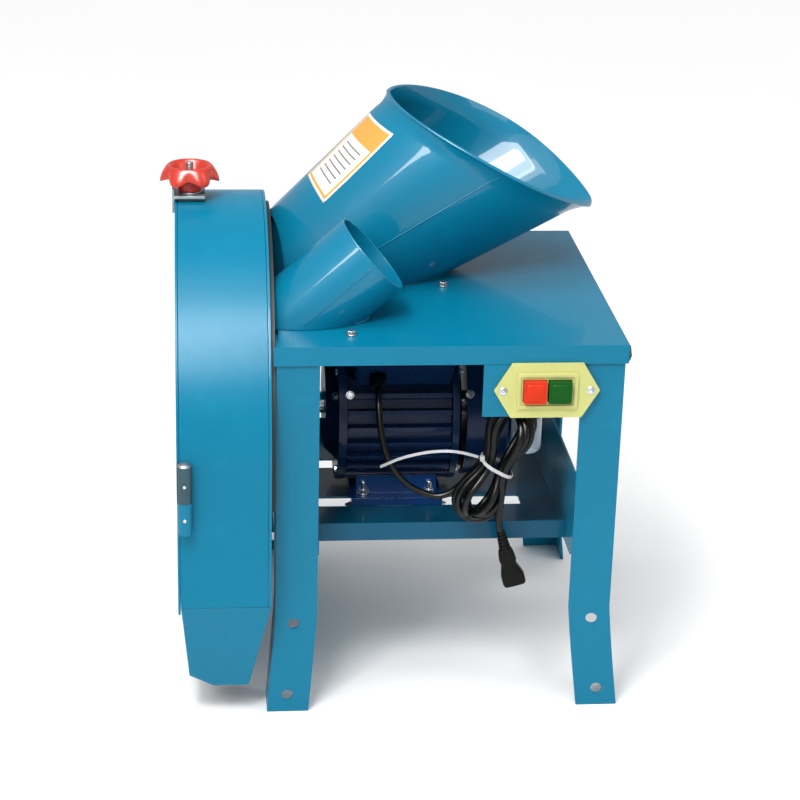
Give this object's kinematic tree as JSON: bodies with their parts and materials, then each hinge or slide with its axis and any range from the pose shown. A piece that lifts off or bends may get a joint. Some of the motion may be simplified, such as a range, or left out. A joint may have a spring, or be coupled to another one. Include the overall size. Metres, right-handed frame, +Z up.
{
  "type": "feed cutter and mill",
  "caption": "Small electric feed cutter and mill: drum housing with hinged door, wide and round inclined inlets, motor under a sheet-metal table, switch and bundled cord.",
  "frame": {"origin": "on the floor under the centre of the machine, loose cord not counted", "axes": "+X from the drum towards the switch side, +Y from the front (switch face) to the rear, +Z up"},
  "size_m": [0.4846, 0.456, 0.6147],
  "materials": {
    "teal_paint": "glossy powder coat",
    "navy_paint": "semi-gloss enamel",
    "zinc_steel": "zinc plated",
    "tool_steel": "ground",
    "red_plastic": "moulded",
    "green_plastic": "moulded",
    "cream_plastic": "moulded",
    "black_rubber": "matt",
    "black_plastic": "moulded",
    "nylon": "translucent",
    "stator_iron": "laminated"
  },
  "bodies": {
    "stand": {"table_top": "teal_paint", "leg_front_left": "teal_paint", "leg_front_right": "teal_paint", "leg_rear_left": "teal_paint", "leg_rear_right": "teal_paint", "motor_tray": "teal_paint", "tray_side_plate": "teal_paint", "housing_band": "teal_paint", "housing_back_plate": "teal_paint", "discharge_spout": "teal_paint", "housing_knuckle": "teal_paint", "main_chute": "teal_paint", "grain_tube": "teal_paint", "switch_bracket": "teal_paint", "motor_frame": "navy_paint", "motor_end_bell_drive": "navy_paint", "motor_end_bell_rear": "navy_paint", "fan_cowl": "navy_paint", "motor_foot": "navy_paint", "junction_box": "navy_paint", "junction_box_lid": "navy_paint", "clamp_stud": "zinc_steel", "bearing_drive": "zinc_steel", "bearing_rear": "zinc_steel", "screen": "tool_steel", "ledger_knife": "tool_steel", "switch_plate": "cream_plastic", "stand_gasket": "black_rubber", "clamp_pad": "black_rubber", "feed_throat": "black_rubber", "motor_lead": "black_rubber", "power_cord_hank": "black_rubber", "power_cord_tail": "black_rubber", "cable_gland": "black_plastic", "switch_body": "black_plastic", "plug_body": "black_plastic", "cable_tie": "nylon", "motor_stator": "stator_iron"},
    "door": {"door_plate": "teal_paint", "door_seal": "black_rubber", "door_knuckle": "zinc_steel", "door_bracket": "zinc_steel"},
    "clamp_nut": {"clamp_washer": "zinc_steel"},
    "clamp_knob": {"star_knob": "red_plastic"},
    "rotor": {"motor_shaft": "zinc_steel", "rotor_disc": "tool_steel", "rotor_end_plate": "tool_steel", "rotor_nut": "zinc_steel", "knife_1": "zinc_steel", "knife_2": "zinc_steel", "knife_3": "zinc_steel", "hammer_pin_1": "zinc_steel", "hammer_pin_2": "zinc_steel", "hammer_pin_3": "zinc_steel", "cooling_fan": "black_plastic"},
    "beater_1": {"hammer_1": "tool_steel"},
    "beater_2": {"hammer_2": "tool_steel"},
    "beater_3": {"hammer_3": "tool_steel"},
    "stop_button": {"button_stop": "red_plastic"},
    "start_button": {"button_start": "green_plastic"}
  },
  "joints": [
    {"name": "door_hinge", "type": "hinge", "parent": "stand", "child": "door", "pos_m": [-0.21885, -0.2205, 0.264], "axis": [0, 0, 1], "range_deg": [0, 120]},
    {"name": "clamp_lift", "type": "slide", "parent": "stand", "child": "clamp_nut", "axis": [0, 0, 1], "range_m": [0, 0.0038]},
    {"name": "knob_turn", "type": "hinge", "parent": "clamp_nut", "child": "clamp_knob", "pos_m": [-0.21085, 0.008, 0.53], "axis": [0, 0, 1], "range_deg": [0, 1080]},
    {"name": "rotor_spin", "type": "hinge", "parent": "stand", "child": "rotor", "pos_m": [-0.12885, 0.008, 0.278], "axis": [1, 0, 0], "continuous": true},
    {"name": "hammer_swing_1", "type": "hinge", "parent": "rotor", "child": "beater_1", "pos_m": [-0.17485, 0.09397, 0.34662], "axis": [1, 0, 0], "continuous": true},
    {"name": "hammer_swing_2", "type": "hinge", "parent": "rotor", "child": "beater_2", "pos_m": [-0.17485, -0.09441, 0.31815], "axis": [1, 0, 0], "continuous": true},
    {"name": "hammer_swing_3", "type": "hinge", "parent": "rotor", "child": "beater_3", "pos_m": [-0.17485, 0.02444, 0.16924], "axis": [1, 0, 0], "continuous": true},
    {"name": "stop_press", "type": "slide", "parent": "stand", "child": "stop_button", "axis": [0, 1, 0], "range_m": [-0.002, 0.002]},
    {"name": "start_press", "type": "slide", "parent": "stand", "child": "start_button", "axis": [0, 1, 0], "range_m": [-0.002, 0.002]}
  ],
  "couplings": [
    {"joint": "clamp_lift", "follows": "knob_turn", "m_per_rad": 0.000199},
    {"joint": "start_press", "follows": "stop_press", "ratio": -1}
  ]
}
